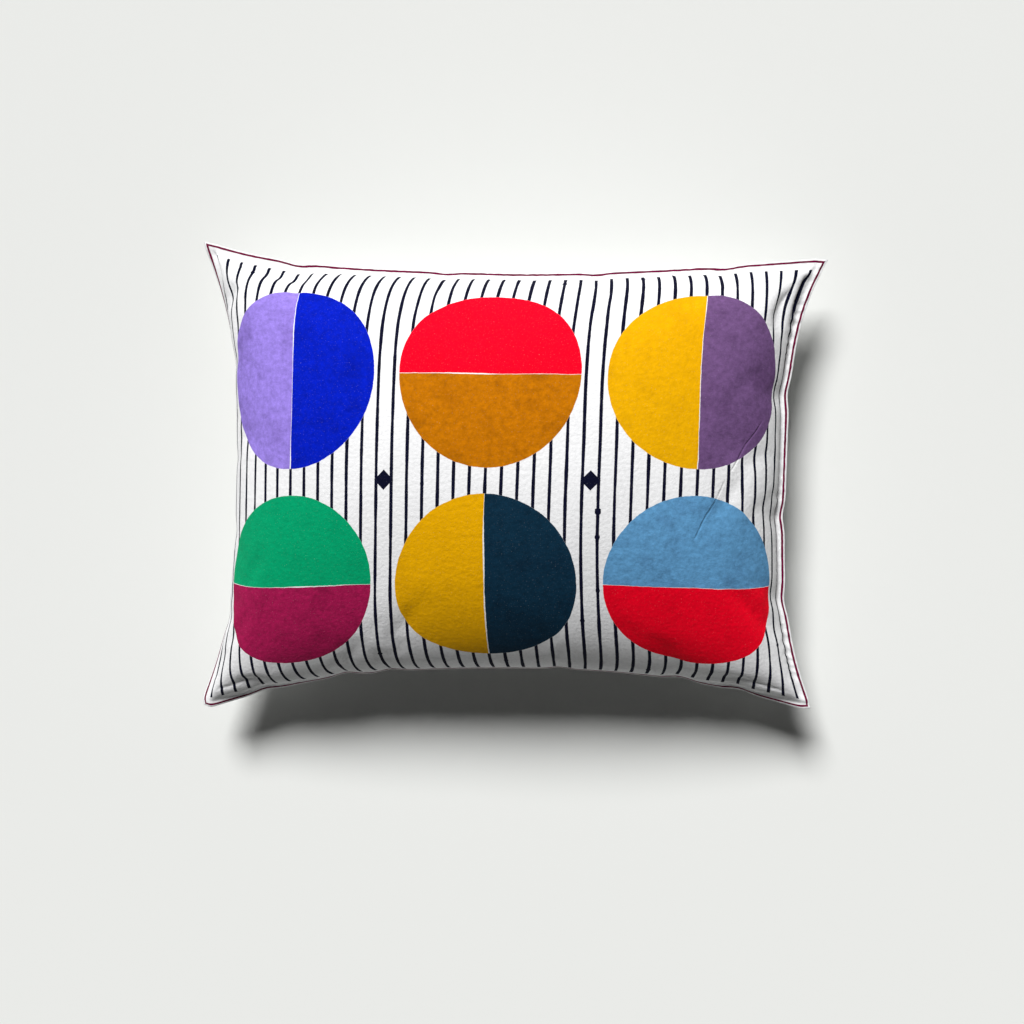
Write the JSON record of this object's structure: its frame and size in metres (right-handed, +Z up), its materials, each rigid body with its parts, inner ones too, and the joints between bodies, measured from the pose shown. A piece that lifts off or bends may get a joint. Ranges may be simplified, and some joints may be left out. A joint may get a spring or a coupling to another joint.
{
  "type": "filled rectangular cushion",
  "caption": "Plump rectangular cushion with a printed cotton cover, drawn-in sides and turned-out corners.",
  "frame": {"origin": "under the middle of the cushion, on the surface that its back lies on", "axes": "+X along the long side, to the right of the printed face; +Y along the short side, to the top of the printed face; +Z up out of the printed face"},
  "size_m": [0.5988, 0.454, 0.1701],
  "materials": {
    "cotton_cover": "matte plain-woven cotton, printed on its front panel"
  },
  "bodies": {
    "root": {"cushion": "cotton_cover"}
  },
  "joints": []
}
